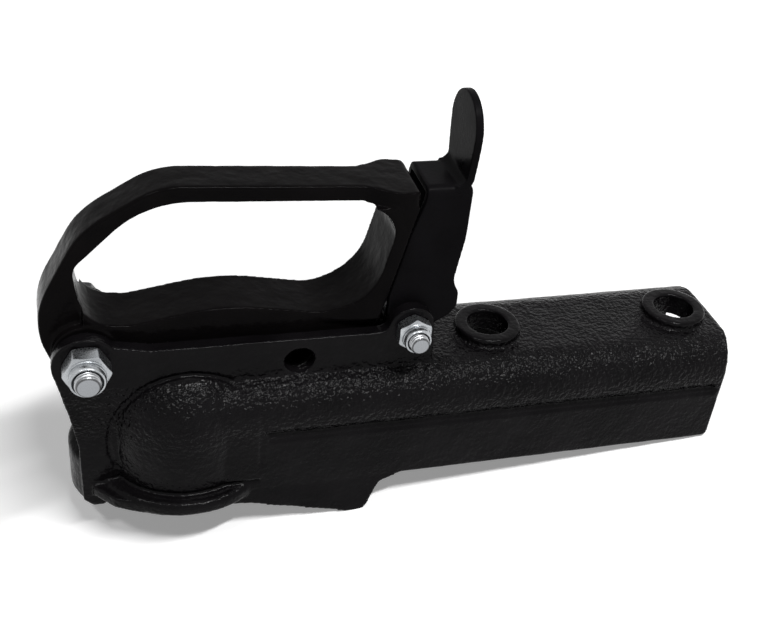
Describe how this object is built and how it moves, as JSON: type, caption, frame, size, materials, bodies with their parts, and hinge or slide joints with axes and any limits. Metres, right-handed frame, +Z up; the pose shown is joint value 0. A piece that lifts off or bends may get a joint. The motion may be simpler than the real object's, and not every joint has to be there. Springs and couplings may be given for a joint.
{
  "type": "trailer ball coupler",
  "caption": "Cast ball socket with a lifting loop handle, thumb latch, hinged jaw and a channel shank that wraps over a square drawbar and bolts on from above",
  "frame": {"origin": "centre of the tow ball when it sits in the socket", "axes": "+X runs back along the drawbar, +Z is up, out of the mounting bolt seats, and +Y is to the side of the pivot bolt heads"},
  "size_m": [0.2936, 0.078, 0.1764],
  "materials": {
    "cast_body": "black gloss paint over rough cast iron",
    "cast_handle": "black gloss paint over cast iron",
    "latch_sheet": "black gloss paint on bent steel sheet",
    "jaw_metal": "bare dark casting, machined hollow",
    "zinc_steel": "bright zinc-plated steel",
    "plain_steel": "turned steel",
    "spring_steel": "oiled spring wire",
    "nylon": "dark nylon"
  },
  "bodies": {
    "coupler_body": {"body_casting": "cast_body", "handle_bush": "plain_steel", "latch_bush": "plain_steel", "front_bolt": "zinc_steel", "front_nut": "zinc_steel", "front_nut_insert": "nylon", "rear_bolt": "zinc_steel", "rear_nut": "zinc_steel", "rear_nut_insert": "nylon", "handle_spring": "spring_steel", "latch_spring": "spring_steel"},
    "lift_handle": {"handle": "cast_handle", "jaw_pin": "plain_steel", "jaw_pin_clips": "spring_steel", "jaw_spring": "spring_steel"},
    "ball_jaw": {"jaw": "jaw_metal"},
    "thumb_latch": {"latch": "latch_sheet"}
  },
  "joints": [
    {"name": "handle_lift", "type": "hinge", "parent": "coupler_body", "child": "lift_handle", "pos_m": [-0.0375, 0, 0.0407], "axis": [0, -1, 0], "range_deg": [0, 24], "stiffness_Nm_per_rad": 2, "springref_deg": -20.05, "deforming": ["handle_spring"]},
    {"name": "latch_tilt", "type": "hinge", "parent": "coupler_body", "child": "thumb_latch", "pos_m": [0.0894, 0, 0.0442], "axis": [0, 1, 0], "range_deg": [0, 20], "stiffness_Nm_per_rad": 0.5, "springref_deg": -28.65, "deforming": ["latch_spring"]},
    {"name": "jaw_swivel", "type": "hinge", "parent": "lift_handle", "child": "ball_jaw", "pos_m": [0.044, 0, 0], "axis": [0, -1, 0], "range_deg": [0, 4], "stiffness_Nm_per_rad": 0.2, "springref_deg": -28.65, "deforming": ["jaw_spring"]}
  ]
}
